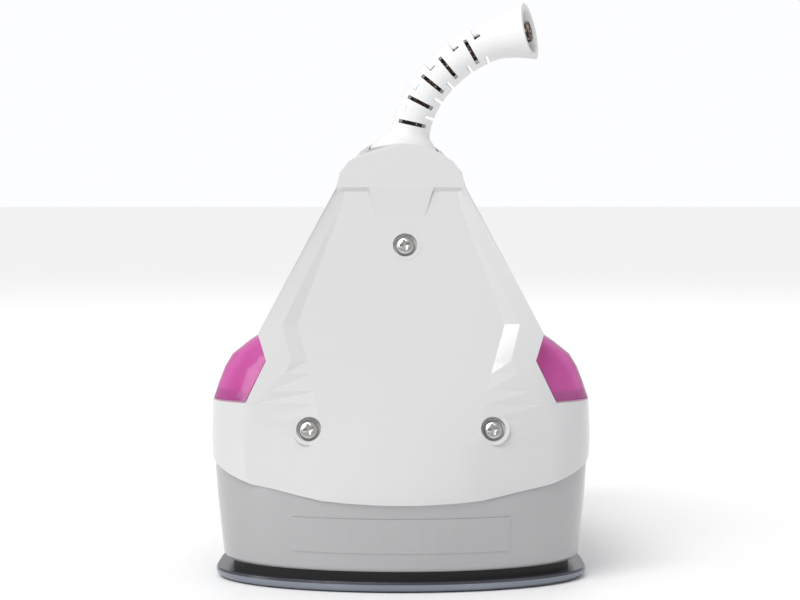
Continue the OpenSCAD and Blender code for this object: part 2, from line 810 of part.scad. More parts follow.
bonnet_levels = [bonnet_z, bonnet_z + 1.6, bonnet_z + 3, bonnet_z + 4.2, bonnet_z + 5, dome_top - 0.1];
module upper_housing() {
    color(white)
        skin()
            difference() {
                union() {
                    loft([for (z = bonnet_levels) body_ring(z)]);
                    loft([for (z = column_levels) column_ring(z)]);
                    loft([for (i = [0 : handle_steps]) handle_ring(i / handle_steps)]);
                }
                loft([for (z = [bonnet_z - 2, bonnet_z + 0.8, bonnet_z + 2.4]) body_ring(z + 1, wall, -1)]);
                loft([
                    for (z = [tank_z - 1, window_top, shoulder_z - 6, shoulder_z + 4, heel_top - 4])
                        column_ring(z, -wall)
                ]);
                handle_bore();
                above_handle_joint(0);
                // Open back of the column
                loft([for (z = [tank_z, shoulder_z, heel_top - 3.5]) back_ring(z)]);
                // No bonnet under the heel cover
                loft([for (z = [bonnet_z - 2, dome_top + 1]) heel_ring_grown(z)]);
                translate([0, dial_y, dial_z - seam])
                    cylinder(h = dial_h + 6, r = dial_r + 1);
                translate([0, dial_y, 0])
                    cylinder(h = dome_top, r = spindle_r + 0.5);
                translate([0, knob_y, 0])
                    cylinder(h = dome_top + 5, r = 3.6);
                translate([0, pump_y, bonnet_z - 10])
                    cylinder(h = 30, r = pump_r + 0.2);
                translate([0, pump_y, heel_top - 45])
                    cylinder(h = 100, r = button_r + 0.4);
                translate(ball)
                    sphere(ball_r + 0.4, $fn = 36);
                at_filler()
                    cylinder(h = 30, r = door_r + 0.6);
                translate([0, column_front - 10, lamp_z])
                    rotate([-90, 0, 0])
                        cylinder(h = 20, r = lamp_r + 0.1);
            }
}
function back_ring(z) =
    let (hw = max(0.5, heel_hw(z) - wall), y0 = heel_line(z) + cover_d)
    [[hw, y0 - 4, z], [hw, y0 + 6, z], [-hw, y0 + 6, z], [-hw, y0 - 4, z]];

module handle_cover() {
    color(white)
        difference() {
            skin()
                intersection() {
                    difference() {
                        loft([for (i = [0 : handle_steps]) handle_ring(i / handle_steps)]);
                        handle_bore();
                    }
                    above_handle_joint(seam);
                }
            translate([0, pump_y, heel_top - 30])
                cylinder(h = 60, r = button_r + 0.4);
            translate(ball)
                sphere(ball_r + 0.4, $fn = 36);
        }
}

// Soft pad under the grip
pad_t = 1.2;
module grip_pad() {
    color(grey)
        skin()
            difference() {
                intersection() {
                    loft([for (i = [0 : handle_steps]) handle_ring(i / handle_steps, -pad_t)]);
                    side_block([[-34, 100], [24, 100], [20, heel_top - 19], [-32, heel_top - 17]], 200);
                }
                loft([for (i = [0 : handle_steps]) handle_ring(i / handle_steps, 0)]);
            }
}

// --- Steam button and pump ------------------------------------------------------------

button_top = heel_top - 5.6;
button_foot = heel_top - 20;
pump_r = 6;
pump_top = dome_top + 14;
piston_r = 3;
rod_r = 1.5;
module steam_button() {
    color(magenta)
        translate([0, pump_y, 0])
            difference() {
                union() {
                    translate([0, 0, button_foot])
                        cylinder(h = button_top - button_foot - 1.5, r = button_r);
                    translate([0, 0, button_top - 1.5])
                        cylinder(h = 1.5, r1 = button_r, r2 = button_r - 1.5);
                }
                translate([0, 0, button_foot - 1])
                    cylinder(h = 4, r = rod_r);
            }
}

module pump_piston() {
    color(grey)
        translate([0, pump_y, 0]) {
            translate([0, 0, pump_top - 10])
                cylinder(h = 4, r = piston_r);
            translate([0, 0, pump_top - 6.5])
                cylinder(h = button_foot + 3 - pump_top + 6.5, r = rod_r);
        }
}

module pump_body() {
    color([0.85, 0.85, 0.86])
        translate([0, pump_y, 0])
            difference() {
                union() {
                    translate([0, 0, dome_top - 4])
                        cylinder(h = pump_top - dome_top + 4, r = pump_r);
                    translate([0, 0, tank_z - 6])
                        cylinder(h = dome_top - tank_z + 3, r = 2.4);
                }
                translate([0, 0, dome_top - 1])
                    cylinder(h = 60, r = piston_r + 0.05);
                translate([0, 0, tank_z - 7])
                    cylinder(h = 60, r = 1);
            }
}

spring_wire = 0.4;
spring_coils = 5;
module button_spring() {
    coil_r = 4;
    steps = spring_coils * 12;
    z0 = pump_top + 0.2;
    h = button_foot - z0 - 0.2 - 2 * spring_wire;
    color(metal)
        translate([0, pump_y, z0 + spring_wire])
            loft([
                for (i = [steps : -1 : 0])
                    [
                        for (k = [0 : 5])
                            let (r = coil_r + spring_wire * cos(k * 60))
                                [r * cos(i * 30), r * sin(i * 30), h * i / steps + spring_wire * sin(k * 60)]
                    ]
            ]);
}

// Short hose from the pump's outlet down to the chamber cover
module pump_hose() {
    color([0.85, 0.5, 0.35])
        translate([0, pump_y, chamber_top + seal_t + cover_t])
            tube(3.6, 2.42, tank_z - 2 - chamber_top - seal_t - cover_t);
}

// --- Regulator ---------------------------------------------------------------------------

knob_z = dome_top + 0.4;
knob_h = 9;
valve_rod_r = 1.6;
module regulator_knob() {
    ribs = 16;
    color(grey)
        difference() {
            translate([0, knob_y, knob_z])
                union() {
                    cylinder(h = knob_h - 1, r = knob_r);
                    translate([0, 0, knob_h - 1])
                        cylinder(h = 1, r1 = knob_r, r2 = knob_r - 1);
                    translate([0, 0, -3])
                        cylinder(h = 4, r = 3.2);
                }
            translate([0, knob_y, knob_z - 4])
                cylinder(h = 4 + knob_h - 1.5, r = valve_rod_r + 0.06);
            for (i = [0 : ribs - 1])
                translate([0, knob_y, knob_z + 2])
                    rotate(i * 360 / ribs)
                        translate([knob_r + 0.4, 0, 0])
                            cylinder(h = knob_h, r = 0.9);
        }
}

module valve_rod() {
    tip = 3;
    foot = tank_z + 1.5;
    color(metal)
        translate([0, knob_y, foot]) {
            cylinder(h = tip, r1 = 0.6, r2 = valve_rod_r);
            translate([0, 0, tip])
                cylinder(h = knob_z + knob_h - 1.5 - valve_lift - 0.4 - foot - tip, r = valve_rod_r);
        }
}

module dropper_tube() {
    color([0.85, 0.5, 0.35])
        translate([0, knob_y, chamber_top + seal_t + cover_t])
            difference() {
                cylinder(h = tank_z - seam - chamber_top - seal_t - cover_t, r = 4);
                translate([0, 0, -1])
                    cylinder(h = 100, r = 1);
            }
}

// --- Filler door --------------------------------------------------------------------------

door_t = 2.4;
door_lift = 2.4;
pin_r = 1.2;
pin_l = 12;
hinge_y = -door_r - 1.6;
module filler_door() {
    color(white)
        at_filler()
            difference() {
                union() {
                    translate([0, 0, door_lift])
                        cylinder(h = door_t - 0.8, r = door_r);
                    translate([0, 0, door_lift + door_t - 0.8])
                        cylinder(h = 0.8, r1 = door_r, r2 = door_r - 0.8);
                    translate([-pin_l / 2 + 2.2, hinge_y, door_lift])
                        cube([pin_l - 4.4, -hinge_y - door_r + 3, door_t]);
                    translate([-pin_l / 2 + 2.2, hinge_y, door_lift + door_t / 2])
                        rotate([0, 90, 0])
                            cylinder(h = pin_l - 4.4, r = pin_r + 1.1);
                }
                translate([-pin_l, hinge_y, door_lift + door_t / 2])
                    rotate([0, 90, 0])
                        cylinder(h = 2 * pin_l, r = pin_r + 0.05);
            }
}

module filler_gasket() {
    color([0.75, 0.3, 0.2])
        at_filler()
            translate([0, 0, door_lift - 3])
                difference() {
                    cylinder(h = 3, r = filler_r - 0.5);
                    translate([0, 0, -1])
                        cylinder(h = 3, r = filler_r - 2);
                }
}

// The hinge pin and the two lugs that hold it
module door_pin() {
    color(metal)
        at_filler()
            translate([-pin_l / 2, hinge_y, door_lift + door_t / 2])
                rotate([0, 90, 0])
                    cylinder(h = pin_l, r = pin_r);
}

// --- Lamp ------------------------------------------------------------------------------------

module lamp_lens() {
    color([0.9, 0.35, 0.2])
        translate([0, column_front - 1.9, lamp_z])
            rotate([-90, 0, 0]) {
                cylinder(h = 2, r = lamp_r);
                translate([0, 0, 2])
                    cylinder(h = 0.8, r1 = lamp_r, r2 = lamp_r - 1);
            }
}

module lamp() {
    color([0.9, 0.6, 0.4])
        translate([0, column_front - 5.2, lamp_z])
            rotate([-90, 0, 0])
                cylinder(h = 3, r = 2.2);
}

// --- Cord guard and lead ------------------------------------------------------------------------

guard_steps = 31;
guard_start = ball_r - 3.4;
guard_lean = 12;
guard_turn = 66;
guard_tip_lean = 16;
// Angle of the guard from upright at length s
function guard_angle(s) = guard_lean + guard_turn * pow(min(1, max(0, (s - 5) / (guard_l - 12))), 0.85);
function guard_fore(s) = guard_tip_lean * pow(max(0, s) / guard_l, 1.3);
function guard_dir(s) =
    let (a = guard_angle(s), b = guard_fore(s))
    [sin(a) * cos(b), -sin(b), cos(a) * cos(b)];
guard_step = guard_l / guard_steps;
function guard_points(p, i) =
    i > guard_steps + 1 ? [] : concat([p], guard_points(p + guard_step * guard_dir((i + 0.5) * guard_step), i + 1));
guard_path = guard_points(ball + guard_start * guard_dir(0), 0);
bell_l = 14;
function guard_radius(s) =
    let (b = max(0, (s - guard_l + bell_l) / bell_l))
    guard_r + (bell_r - guard_r) * pow(b, 1.7) + 2.2 * pow(max(0, 1 - s / 3), 2);
// Ring across the guard's line at step i; b is the share of the way round, 0 on the outer side of the bend
function guard_ring(i, r, n) =
    let (
        s = i * guard_step,
        t = guard_dir(s),
        side = cross([0, -1, 0], t),
        u = side / norm(side),
        v = cross(t, u)
    )
    [for (k = [0 : n - 1]) let (a = 360 * k / n) guard_path[i] + r * (u * cos(a) + v * sin(a))];
// The same ring at height h on the axis of the ball, under the guard's first step
function lead_ring(h, r, n) = [for (p = guard_ring(0, r, n)) p + (h - guard_start) * guard_dir(0)];
// The bore widens with the bell mouth
function guard_bore(s) = s > 5 ? guard_radius(s) - 2 : guard_r - 2;

// Widths of the slots on the outer side of the bend, on its inner side, and on its front and back
slot_outer = 2.3;
slot_inner = 1;
slot_front = 1.3;
slot_first = 5.2;
slot_pitch = 3.95;
slot_count = 10;
pivot_r = 2.5;
pivot_l = 3.4;
module cord_guard() {
    color(white)
        union() {
            skin()
                difference() {
                    union() {
                        loft([for (i = [0 : guard_steps]) guard_ring(i, guard_radius(i * guard_step), 24)]);
                        translate(ball)
                            sphere(ball_r, $fn = 36);
                    }
                    loft(concat(
                        [lead_ring(-ball_r - 1, 7.5, 16), lead_ring(-3, guard_r - 2, 16)],
                        [
                            for (i = [0 : 2 : guard_steps + 2])
                                guard_ring(min(i, guard_steps + 1), guard_bore(i * guard_step), 16)
                        ]
                    ));
                    for (k = [0 : slot_count - 1])
                        guard_slot(slot_first + slot_pitch * k, k % 2);
                }
            for (side = [-1, 1])
                translate(ball + [0, side * (ball_r - 1), 0])
                    rotate([-90 * side, 0, 0])
                        cylinder(h = pivot_l, r = pivot_r);
        }
}

module guard_slot(s, sides) {
    i = round(s / guard_step);
    p = guard_path[i];
    t = guard_dir(s);
    translate(p)
        rotate([guard_fore(s), 0, 0])
            rotate([0, guard_angle(s), 0])
                for (way = [-1, 1])
                    rotate(sides > 0 ? 0 : 90)
                        translate([way * (guard_r + 1.2), 0, 0])
                            cube(
                                [
                                    guard_r * 1.55,
                                    guard_r * (sides > 0 ? 1.7 : 1.4),
                                    sides == 0 ? slot_front : way < 0 ? slot_outer : slot_inner
                                ],
                                center = true
                            );
}

module guard_bearings() {
    color(grey)
        for (side = [-1, 1])
            difference() {
                translate(ball + [-5, side > 0 ? ball_r + 0.4 : -ball_r - 0.4 - pivot_l + 1, -6])
                    cube([10, pivot_l - 1, 9]);
                translate(ball + [0, side * (ball_r - 2), 0])
                    rotate([-90 * side, 0, 0])
                        cylinder(h = pivot_l + 4, r = pivot_r + 0.05);
            }
}

module supply_lead() {
    last = guard_steps;
    color([0.55, 0.45, 0.4])
        loft(concat([lead_ring(1, lead_r, 12)], [for (i = [0 : last]) guard_ring(i, lead_r, 12)]));
}

// Middle of the space behind the heel cover
inner_y = wide_y + 11;
module cord_clamp() {
    color(grey)
        translate([0, inner_y + 4, clamp_z])
            difference() {
                translate([-11, -4, 0])
                    cube([22, 10, 8]);
                translate([0, 0, -1])
                    cylinder(h = 10, r = lead_r);
            }
}

module inner_leads() {
    color([0.55, 0.45, 0.4])
        translate([0, inner_y + 4, clamp_z - 4])
            cylinder(h = 26, r = lead_r - 0.05);
    for (i = [-1 : 1])
        color([0.4, 0.3, 0.25])
            translate([i * 7, inner_y + 4, chamber_top + 22])
                cylinder(h = clamp_z - 20.1 - chamber_top - 22, r = 1.2);
}

module terminal_block() {
    color([0.9, 0.9, 0.85])
        difference() {
            translate([-13, inner_y - 1, clamp_z - 20])
                cube([26, 10, 16]);
            for (i = [-1 : 1])
                translate([i * 7, inner_y - 2, clamp_z - 12])
                    rotate([-90, 0, 0])
                        cylinder(h = 6, r = 2.2);
        }
}

module earth_tab() {
    color(metal)
        difference() {
            translate([-6, wide_y - 1, chamber_top])
                cube([12, 4, 1]);
            translate([0, wide_y + 1, chamber_top - 1])
                cylinder(h = 3, r = 1.2);
        }
}

// Screws that hold the housing to the sole studs
module housing_screws() {
    color(metal)
        for (p = stud_places())
            translate([p[0], p[1], stud_top])
                difference() {
                    cylinder(h = 3, r = screw_r);
                    translate([-screw_r * 0.6, -0.4, 2])
                        cube([screw_r * 1.2, 0.8, 3]);
                }
}

sole_plate();
sole_gasket();
steam_chamber();
heating_element();
chamber_seal();
chamber_cover();
cover_screws();
sole_studs();
thermostat();
thermostat_spindle();
thermostat_dial();
thermal_fuse();
skirt();
rating_label();
lower_housing();
heel_cover();
heel_screws();
water_tank();
upper_housing();
handle_cover();
grip_pad();
steam_button();
button_spring();
pump_piston();
pump_body();
pump_hose();
regulator_knob();
valve_rod();
dropper_tube();
filler_door();
filler_gasket();
door_pin();
lamp_lens();
lamp();
cord_guard();
guard_bearings();
supply_lead();
cord_clamp();
terminal_block();
inner_leads();
earth_tab();
housing_screws();
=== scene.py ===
from math import radians

import bpy
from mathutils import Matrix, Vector


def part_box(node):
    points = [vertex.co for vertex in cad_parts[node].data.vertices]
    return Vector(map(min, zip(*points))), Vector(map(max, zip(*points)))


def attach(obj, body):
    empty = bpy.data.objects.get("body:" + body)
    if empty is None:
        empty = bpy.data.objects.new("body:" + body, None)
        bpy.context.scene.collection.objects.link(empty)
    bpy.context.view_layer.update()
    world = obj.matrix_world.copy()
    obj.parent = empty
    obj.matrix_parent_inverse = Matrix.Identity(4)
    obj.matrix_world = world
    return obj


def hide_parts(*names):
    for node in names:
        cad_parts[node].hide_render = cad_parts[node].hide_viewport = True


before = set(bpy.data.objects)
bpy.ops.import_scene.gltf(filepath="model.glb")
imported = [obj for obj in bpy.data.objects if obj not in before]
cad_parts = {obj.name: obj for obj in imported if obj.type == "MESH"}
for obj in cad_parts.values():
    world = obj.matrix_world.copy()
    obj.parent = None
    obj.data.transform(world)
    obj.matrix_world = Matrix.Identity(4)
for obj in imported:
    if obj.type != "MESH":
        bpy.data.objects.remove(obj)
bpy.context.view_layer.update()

# ------------------------------------------------------------------ Camera and studio
# The steamer stands heel towards the viewer on a plain pale table. A wide room light
# and a softbox come from the upper left, a narrow strip stands at the left, a weak
# fill at the right, and a rim light behind.

bpy.ops.object.select_all(action="DESELECT")
bpy.ops.object.camera_add(location=(0, -0.813, 0.128), rotation=(radians(87), 0, 0))
camera = bpy.context.object
camera.data.lens = 103.5
camera.data.sensor_width = 36
camera.data.shift_x = -1 / 800
camera.data.clip_end = 50
bpy.context.scene.camera = camera
bpy.context.scene.view_settings.view_transform = "Standard"


def named_material(name):
    """A fresh material and its shader, ready for its own nodes."""
    material = bpy.data.materials.new(name)
    material.use_nodes = True
    return material, material.node_tree, material.node_tree.nodes["Principled BSDF"]


def softbox(name, place, width, height, energy, tint):
    """A rectangular studio light that faces the middle of the steamer."""
    steamer_middle = Vector((0, -0.02, 0.075))
    aim = steamer_middle - Vector(place)
    turn = aim.to_track_quat("-Z", "Y").to_euler()
    bpy.ops.object.light_add(type="AREA", location=place, rotation=turn)
    light = bpy.context.object
    light.name = name
    light.data.shape = "RECTANGLE"
    light.data.size = width
    light.data.size_y = height
    light.data.energy = energy
    light.data.color = tint


softbox("key_softbox", (-0.95, -1.1, 1.25), 0.7, 0.7, 1.8, (1, 0.99, 0.97))
softbox("strip_softbox", (-1.0, -0.35, 0.55), 0.16, 1.1, 1.6, (1, 1, 1))
softbox("fill_softbox", (1.25, -0.9, 0.75), 0.5, 0.9, 0.6, (0.97, 0.98, 1))
softbox("rim_softbox", (0.15, 1.3, 1.2), 1.1, 0.5, 4, (1, 1, 1))
bpy.ops.object.light_add(type="SUN", rotation=(radians(38), 0, radians(-32)))
room_light = bpy.context.object
room_light.name = "room_light"
room_light.data.energy = 1.5
room_light.data.angle = radians(32)

studio = bpy.data.worlds.new("studio")
bpy.context.scene.world = studio
studio.use_nodes = True
sky = studio.node_tree.nodes["Background"]
sky.inputs["Color"].default_value = (0.98, 0.985, 1, 1)
ray = studio.node_tree.nodes.new("ShaderNodeLightPath")
seen = studio.node_tree.nodes.new("ShaderNodeMapRange")
seen.inputs["To Min"].default_value = 0.62
seen.inputs["To Max"].default_value = 1.0
studio.node_tree.links.new(ray.outputs["Is Camera Ray"], seen.inputs["Value"])
studio.node_tree.links.new(seen.outputs["Result"], sky.inputs["Strength"])

bpy.ops.mesh.primitive_plane_add(size=14, location=(0, 3, -0.0003))
table = bpy.context.object
table.name = "table"
bpy.ops.object.transform_apply(location=True)
table_paper, tree, paper = named_material("table_paper")
fibre = tree.nodes.new("ShaderNodeTexNoise")
fibre.inputs["Scale"].default_value = 14
shade = tree.nodes.new("ShaderNodeMapRange")
shade.inputs["To Min"].default_value = 0.94
shade.inputs["To Max"].default_value = 0.96
tree.links.new(tree.nodes.new("ShaderNodeTexCoord").outputs["Object"], fibre.inputs["Vector"])
tree.links.new(fibre.outputs["Fac"], shade.inputs["Value"])
tree.links.new(shade.outputs["Result"], paper.inputs["Base Color"])
paper.inputs["Roughness"].default_value = 0.6
table.data.materials.append(table_paper)


# ------------------------------------------------------------------ Sole plate
# The cast sole carries a dark non-stick coat, with a thin bluish bare rim where the
# coat ends. Rows of steam holes are drilled through it, and a black gasket lies on top.

def shell_copy(node, name, sharp=32, edge=0.0, flat=0.6, creases=False):
    """A cleaned copy of a moulded shell: one closed skin, soft edges, smooth faces.

    With creases set, the even shading is left for the caller to apply after its own edges.
    """
    bpy.ops.object.select_all(action="DESELECT")
    piece = bpy.data.objects.new(name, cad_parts[node].data.copy())
    bpy.context.scene.collection.objects.link(piece)
    bpy.context.view_layer.objects.active = piece
    piece.select_set(True)
    if piece.data.has_custom_normals:
        bpy.ops.mesh.customdata_custom_splitnormals_clear()
    bpy.ops.object.mode_set(mode="EDIT")
    bpy.ops.mesh.select_all(action="SELECT")
    merge_gap = 4e-6
    bpy.ops.mesh.remove_doubles(threshold=merge_gap)
    bpy.ops.mesh.dissolve_degenerate(threshold=2 * merge_gap)
    bpy.ops.mesh.dissolve_limited(angle_limit=radians(flat))
    bpy.ops.object.mode_set(mode="OBJECT")
    if edge:
        rounding = piece.modifiers.new("rounding", "BEVEL")
        rounding.width = edge
        rounding.segments = 2
        rounding.angle_limit = radians(sharp + 4)
        bpy.ops.object.modifier_apply(modifier="rounding")
    bpy.ops.object.shade_smooth_by_angle(angle=radians(sharp))
    even_shading = piece.modifiers.new("even_shading", "WEIGHTED_NORMAL")
    even_shading.keep_sharp = True
    if not creases:
        bpy.ops.object.modifier_apply(modifier="even_shading")
    return piece


def finished(piece, material, body, node):
    """Gives a piece its material and its body, and hides the CAD node that it stands for."""
    piece.data.materials.clear()
    piece.data.materials.append(material)
    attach(piece, body)
    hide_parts(node)
    return piece


def coat(node, material):
    """Gives a CAD node its own finished material."""
    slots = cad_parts[node].data.materials
    slots.clear()
    slots.append(material)


def new_group(name, values, colours, results):
    """A named node group with value and colour inputs and the given outputs."""
    group = bpy.data.node_groups.new(name, "ShaderNodeTree")
    for label in colours:
        group.interface.new_socket(label, in_out="INPUT", socket_type="NodeSocketColor")
    for label in values:
        group.interface.new_socket(label, in_out="INPUT", socket_type="NodeSocketFloat")
    for label, kind in results:
        group.interface.new_socket(label, in_out="OUTPUT", socket_type=kind)
    return group, group.nodes.new("NodeGroupInput"), group.nodes.new("NodeGroupOutput")


def math_node(tree, kind, first, second=None, clamp=False):
    """A maths node whose inputs are sockets or plain numbers."""
    node = tree.nodes.new("ShaderNodeMath")
    node.operation = kind
    node.use_clamp = clamp
    for place, value in enumerate((first, second)):
        if value is None:
            continue
        if isinstance(value, (int, float)):
            node.inputs[place].default_value = value
        else:
            tree.links.new(value, node.inputs[place])
    return node.outputs[0]


def noise_node(tree, place, scale, detail=3.0, stretch=None):
    """Noise over the piece's own coordinates, stretched along its axes if asked."""
    noise = tree.nodes.new("ShaderNodeTexNoise")
    noise.inputs["Detail"].default_value = detail
    if isinstance(scale, (int, float)):
        noise.inputs["Scale"].default_value = scale
    else:
        tree.links.new(scale, noise.inputs["Scale"])
    if stretch:
        mapping = tree.nodes.new("ShaderNodeMapping")
        mapping.inputs["Scale"].default_value = stretch
        tree.links.new(place, mapping.inputs["Vector"])
        place = mapping.outputs["Vector"]
    tree.links.new(place, noise.inputs["Vector"])
    return noise.outputs["Fac"]


def blend_node(tree, mask, first, second):
    """Mixes two colours by a mask."""
    mix = tree.nodes.new("ShaderNodeMix")
    mix.data_type = "RGBA"
    tree.links.new(mask, mix.inputs["Factor"])
    for socket, value in ((mix.inputs["A"], first), (mix.inputs["B"], second)):
        if isinstance(value, tuple):
            socket.default_value = value
        else:
            tree.links.new(value, socket)
    return mix.outputs["Result"]


# Moulded or cast surface: cloudy tone, fine pitting and an uneven gloss
surface_group, entry, result = new_group(
    "moulded_surface",
    ["Cloud Size", "Cloud Amount", "Grain Size", "Roughness", "Gloss Spread"],
    ["Tone", "Shade"],
    [("Color", "NodeSocketColor"), ("Roughness", "NodeSocketFloat"), ("Height", "NodeSocketFloat")],
)
where = surface_group.nodes.new("ShaderNodeTexCoord").outputs["Object"]
cloud = noise_node(surface_group, where, entry.outputs["Cloud Size"], 4)
grain = noise_node(surface_group, where, entry.outputs["Grain Size"], 2)
amount = math_node(surface_group, "MULTIPLY", cloud, entry.outputs["Cloud Amount"], True)
tone = blend_node(surface_group, amount, entry.outputs["Tone"], entry.outputs["Shade"])
swing = math_node(surface_group, "SUBTRACT", cloud, 0.5)
swing = math_node(surface_group, "MULTIPLY", swing, entry.outputs["Gloss Spread"])
gloss = math_node(surface_group, "ADD", entry.outputs["Roughness"], swing, True)
surface_group.links.new(tone, result.inputs["Color"])
surface_group.links.new(gloss, result.inputs["Roughness"])
surface_group.links.new(grain, result.inputs["Height"])

# Fine hairline scratches and rubbed patches, as a mask
scuff_group, entry, result = new_group("scuffs", ["Size", "Amount"], [], [("Mask", "NodeSocketFloat")])
where = scuff_group.nodes.new("ShaderNodeTexCoord").outputs["Object"]
patches = noise_node(scuff_group, where, entry.outputs["Size"], 5)
lines = noise_node(scuff_group, where, 240, 2, (0.3, 4, 1))
patches = math_node(scuff_group, "SUBTRACT", patches, 0.56)
patches = math_node(scuff_group, "MULTIPLY", patches, 9, True)
lines = math_node(scuff_group, "SUBTRACT", lines, 0.6)
lines = math_node(scuff_group, "MULTIPLY", lines, 12, True)
mask = math_node(scuff_group, "MULTIPLY", patches, lines)
mask = math_node(scuff_group, "MULTIPLY", mask, entry.outputs["Amount"], True)
scuff_group.links.new(mask, result.inputs["Mask"])


def surfaced(name, tone, shade, rough, spread=0.1, cloud=18, amount=0.6, grain=900, bump=0.05, metal=0.0,
             scuffs=None, scuff_tone=(0.5, 0.5, 0.5, 1)):
    """A moulded, cast or plated material from the shared surface and scuff groups."""
    material, tree, shader = named_material(name)
    surface = tree.nodes.new("ShaderNodeGroup")
    surface.node_tree = surface_group
    surface.inputs["Tone"].default_value = (*tone, 1)
    surface.inputs["Shade"].default_value = (*shade, 1)
    surface.inputs["Cloud Size"].default_value = cloud
    surface.inputs["Cloud Amount"].default_value = amount
    surface.inputs["Grain Size"].default_value = grain
    surface.inputs["Roughness"].default_value = rough
    surface.inputs["Gloss Spread"].default_value = spread
    colour = surface.outputs["Color"]
    if scuffs:
        wear = tree.nodes.new("ShaderNodeGroup")
        wear.node_tree = scuff_group
        wear.inputs["Size"].default_value = scuffs[0]
        wear.inputs["Amount"].default_value = scuffs[1]
        colour = blend_node(tree, wear.outputs["Mask"], colour, scuff_tone)
    tree.links.new(colour, shader.inputs["Base Color"])
    tree.links.new(surface.outputs["Roughness"], shader.inputs["Roughness"])
    relief = tree.nodes.new("ShaderNodeBump")
    relief.inputs["Strength"].default_value = bump
    relief.inputs["Distance"].default_value = 0.0004
    tree.links.new(surface.outputs["Height"], relief.inputs["Height"])
    tree.links.new(relief.outputs["Normal"], shader.inputs["Normal"])
    shader.inputs["Metallic"].default_value = metal
    return material, tree, shader


sole_coat, tree, shader = surfaced(
    "sole_coat", (0.02, 0.021, 0.026), (0.05, 0.055, 0.07), 0.24, 0.14, 26, 0.7, 1500, 0.12, 0.0,
    (14, 0.6), (0.22, 0.23, 0.25, 1)
)
shader.inputs["Coat Weight"].default_value = 0.35
shader.inputs["Coat Roughness"].default_value = 0.2
sole = shell_copy("sole_plate", "sole_casting", 28, 0.00025)
finished(sole, sole_coat, "root", "sole_plate")

# The rim of the sole is turned back to bare grey-blue metal on its lower edge
rim_metal, tree, shader = surfaced(
    "rim_metal", (0.3, 0.32, 0.37), (0.16, 0.175, 0.21), 0.3, 0.2, 30, 0.8, 1200, 0.1, 0.65
)
sole.data.materials.append(rim_metal)
rim_share = 0.62
flat_face = 0.93
rim_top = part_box("sole_plate")[1].z * rim_share
for face in sole.data.polygons:
    if abs(face.normal.z) < flat_face and face.center.z < rim_top:
        face.material_index = 1

gasket_rubber, tree, shader = surfaced("gasket_rubber", (0.012, 0.012, 0.013), (0.03, 0.03, 0.03), 0.6, 0.15)
coat("sole_gasket", gasket_rubber)

# ------------------------------------------------------------------ Steam chamber
# Under the covers sits a die-cast chamber with its sheathed heater, sealed by a red
# silicone ring and a pressed lid held by six plated screws.

cast_aluminium, tree, shader = surfaced(
    "cast_aluminium", (0.55, 0.56, 0.58), (0.42, 0.43, 0.45), 0.42, 0.2, 40, 0.8, 700, 0.3, 0.9
)
coat("steam_chamber", cast_aluminium)
pressed_lid, tree, shader = surfaced(
    "pressed_lid", (0.66, 0.67, 0.69), (0.55, 0.56, 0.58), 0.3, 0.15, 30, 0.7, 900, 0.1, 0.95
)
coat("chamber_cover", pressed_lid)
heater_sheath, tree, shader = surfaced(
    "heater_sheath", (0.36, 0.33, 0.3), (0.24, 0.2, 0.17), 0.4, 0.2, 50, 0.9, 900, 0.15, 0.9
)
coat("heating_element", heater_sheath)
red_silicone, tree, shader = surfaced("red_silicone", (0.45, 0.06, 0.03), (0.34, 0.045, 0.025), 0.5, 0.1)
for node in ("chamber_seal", "filler_gasket"):
    coat(node, red_silicone)
zinc_plate, tree, shader = surfaced(
    "zinc_plate", (0.62, 0.63, 0.66), (0.5, 0.51, 0.52), 0.3, 0.2, 60, 0.8, 1600, 0.1, 1.0
)
for node in (
    "cover_screws", "sole_studs", "housing_screws", "earth_tab",
    "thermostat_spindle", "button_spring", "valve_rod", "door_pin",
):
    coat(node, zinc_plate)
ceramic, tree, shader = surfaced("ceramic", (0.7, 0.63, 0.5), (0.6, 0.54, 0.43), 0.5, 0.1, 60, 0.8, 1200, 0.2)
for node in ("thermostat", "thermal_fuse", "terminal_block"):
    coat(node, ceramic)
acetal, tree, shader = surfaced("acetal", (0.62, 0.62, 0.61), (0.54, 0.54, 0.53), 0.42, 0.1)
for node in ("pump_body", "pump_piston", "guard_bearings", "cord_clamp"):
    coat(node, acetal)
hose_silicone, tree, shader = surfaced("hose_silicone", (0.66, 0.42, 0.28), (0.58, 0.36, 0.24), 0.4, 0.1)
for node in ("pump_hose", "dropper_tube"):
    coat(node, hose_silicone)

# ------------------------------------------------------------------ Skirt
# A heat-resistant skirt in silver-grey plastic rises from just above the sole to the
# white lip. A blank foil label is pressed into its heel.

skirt_grey, tree, shader = surfaced(
    "skirt_grey", (0.42, 0.42, 0.425), (0.36, 0.36, 0.365), 0.22, 0.08, 10, 0.5, 1800, 0.03, 0.35,
    (9, 0.15), (0.6, 0.6, 0.6, 1)
)
shader.inputs["Coat Weight"].default_value = 0.3
shader.inputs["Coat Roughness"].default_value = 0.12
skirt = shell_copy("skirt", "skirt_moulding", 32, 0.0003)
finished(skirt, skirt_grey, "root", "skirt")
label_foil, tree, shader = surfaced(
    "label_foil", (0.425, 0.425, 0.43), (0.37, 0.37, 0.375), 0.24, 0.08, 10, 0.5, 1500, 0.03, 0.35
)
coat("rating_label", label_foil)

# ------------------------------------------------------------------ White shells
# The housing, heel cover, bonnet and handle are glossy white mouldings with a very
# faint swirl in the polish and slightly softened edges.

